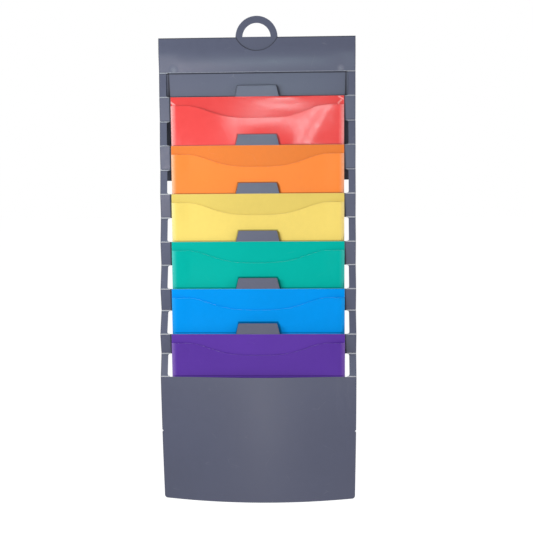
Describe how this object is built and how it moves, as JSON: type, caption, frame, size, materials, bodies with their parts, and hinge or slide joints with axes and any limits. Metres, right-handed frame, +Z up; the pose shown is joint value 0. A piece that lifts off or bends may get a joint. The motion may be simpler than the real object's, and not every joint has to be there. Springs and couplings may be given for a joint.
{
  "type": "pocket file folder",
  "caption": "Hanging wall file organizer unfolded from its header: creased grey plastic dividers with tabs, each holding a coloured open pocket, above a plain front panel.",
  "frame": {"origin": "top of the hanger's eye at the hanger's middle plane, where a hook carries it", "axes": "+X to the right as seen from the front, +Y to the rear (the wall), +Z up"},
  "size_m": [0.362, 0.1035, 0.8917],
  "materials": {
    "grey_sheet": "slate grey polypropylene sheet with a fine satin grain and whitened creases",
    "hanger_sheet": "smooth slate grey plastic",
    "red_sheet": "translucent red polypropylene sheet, softly glossy",
    "orange_sheet": "translucent orange polypropylene sheet, softly glossy",
    "yellow_sheet": "translucent yellow polypropylene sheet, softly glossy",
    "green_sheet": "translucent green polypropylene sheet, softly glossy",
    "blue_sheet": "translucent blue polypropylene sheet, softly glossy",
    "purple_sheet": "translucent purple polypropylene sheet, softly glossy"
  },
  "bodies": {
    "hanger": {"hanger": "hanger_sheet"},
    "cover": {"back_cover": "grey_sheet"},
    "strips_1": {"side_strip_1_left": "grey_sheet", "side_strip_1_right": "grey_sheet"},
    "red_pocket": {"divider_1": "grey_sheet", "red_pocket_back": "red_sheet", "red_pocket_front": "red_sheet"},
    "strips_2": {"side_strip_2_left": "grey_sheet", "side_strip_2_right": "grey_sheet"},
    "orange_pocket": {"divider_2": "grey_sheet", "orange_pocket_back": "orange_sheet", "orange_pocket_front": "orange_sheet"},
    "strips_3": {"side_strip_3_left": "grey_sheet", "side_strip_3_right": "grey_sheet"},
    "yellow_pocket": {"divider_3": "grey_sheet", "yellow_pocket_back": "yellow_sheet", "yellow_pocket_front": "yellow_sheet"},
    "strips_4": {"side_strip_4_left": "grey_sheet", "side_strip_4_right": "grey_sheet"},
    "green_pocket": {"divider_4": "grey_sheet", "green_pocket_back": "green_sheet", "green_pocket_front": "green_sheet"},
    "strips_5": {"side_strip_5_left": "grey_sheet", "side_strip_5_right": "grey_sheet"},
    "blue_pocket": {"divider_5": "grey_sheet", "blue_pocket_back": "blue_sheet", "blue_pocket_front": "blue_sheet"},
    "strips_6": {"side_strip_6_left": "grey_sheet", "side_strip_6_right": "grey_sheet"},
    "purple_pocket": {"divider_6": "grey_sheet", "purple_pocket_back": "purple_sheet", "purple_pocket_front": "purple_sheet"},
    "strips_7": {"side_strip_7_left": "grey_sheet", "side_strip_7_right": "grey_sheet"},
    "panel": {"front_panel": "grey_sheet"}
  },
  "joints": [
    {"name": "hanger_slide", "type": "slide", "parent": "hanger", "child": "cover", "axis": [0, 0, 1], "range_m": [0, 0.034]},
    {"name": "strips_1_fold", "type": "hinge", "parent": "cover", "child": "strips_1", "pos_m": [0, -0.00235, -0.0882], "axis": [-1, 0, 0], "range_deg": [0, 169.2]},
    {"name": "red_pocket_level", "type": "hinge", "parent": "strips_1", "child": "red_pocket", "pos_m": [0, -0.00655, -0.1327], "axis": [1, 0, 0], "range_deg": [0, 169.2]},
    {"name": "strips_2_fold", "type": "hinge", "parent": "red_pocket", "child": "strips_2", "pos_m": [0, -0.00835, -0.1774], "axis": [-1, 0, 0], "range_deg": [0, 163.2]},
    {"name": "orange_pocket_level", "type": "hinge", "parent": "strips_2", "child": "orange_pocket", "pos_m": [0, -0.01485, -0.22163], "axis": [1, 0, 0], "range_deg": [0, 163.2]},
    {"name": "strips_3_fold", "type": "hinge", "parent": "orange_pocket", "child": "strips_3", "pos_m": [0, -0.01665, -0.26633], "axis": [-1, 0, 0], "range_deg": [0, 158]},
    {"name": "yellow_pocket_level", "type": "hinge", "parent": "strips_3", "child": "yellow_pocket", "pos_m": [0, -0.02515, -0.31021], "axis": [1, 0, 0], "range_deg": [0, 158]},
    {"name": "strips_4_fold", "type": "hinge", "parent": "yellow_pocket", "child": "strips_4", "pos_m": [0, -0.02495, -0.35495], "axis": [-1, 0, 0], "range_deg": [0, 147.5]},
    {"name": "green_pocket_level", "type": "hinge", "parent": "strips_4", "child": "green_pocket", "pos_m": [0, -0.03746, -0.39786], "axis": [1, 0, 0], "range_deg": [0, 147.5]},
    {"name": "strips_5_fold", "type": "hinge", "parent": "green_pocket", "child": "strips_5", "pos_m": [0, -0.03525, -0.44254], "axis": [-1, 0, 0], "range_deg": [0, 136.6]},
    {"name": "blue_pocket_level", "type": "hinge", "parent": "strips_5", "child": "blue_pocket", "pos_m": [0, -0.05176, -0.48408], "axis": [1, 0, 0], "range_deg": [0, 136.6]},
    {"name": "strips_6_fold", "type": "hinge", "parent": "blue_pocket", "child": "strips_6", "pos_m": [0, -0.04754, -0.52621], "axis": [-1, 0, 0], "range_deg": [0, 125.3]},
    {"name": "purple_pocket_level", "type": "hinge", "parent": "strips_6", "child": "purple_pocket", "pos_m": [0, -0.06808, -0.56591], "axis": [1, 0, 0], "range_deg": [0, 125.3]},
    {"name": "strips_7_fold", "type": "hinge", "parent": "purple_pocket", "child": "strips_7", "pos_m": [0, -0.06184, -0.60476], "axis": [-1, 0, 0], "range_deg": [0, 139.3]},
    {"name": "panel_level", "type": "hinge", "parent": "strips_7", "child": "panel", "pos_m": [0, -0.07635, -0.64396], "axis": [1, 0, 0], "range_deg": [0, 139.3]}
  ],
  "couplings": [
    {"joint": "red_pocket_level", "follows": "strips_1_fold", "ratio": 1},
    {"joint": "orange_pocket_level", "follows": "strips_2_fold", "ratio": 1},
    {"joint": "yellow_pocket_level", "follows": "strips_3_fold", "ratio": 1},
    {"joint": "green_pocket_level", "follows": "strips_4_fold", "ratio": 1},
    {"joint": "blue_pocket_level", "follows": "strips_5_fold", "ratio": 1},
    {"joint": "purple_pocket_level", "follows": "strips_6_fold", "ratio": 1},
    {"joint": "panel_level", "follows": "strips_7_fold", "ratio": 1}
  ]
}
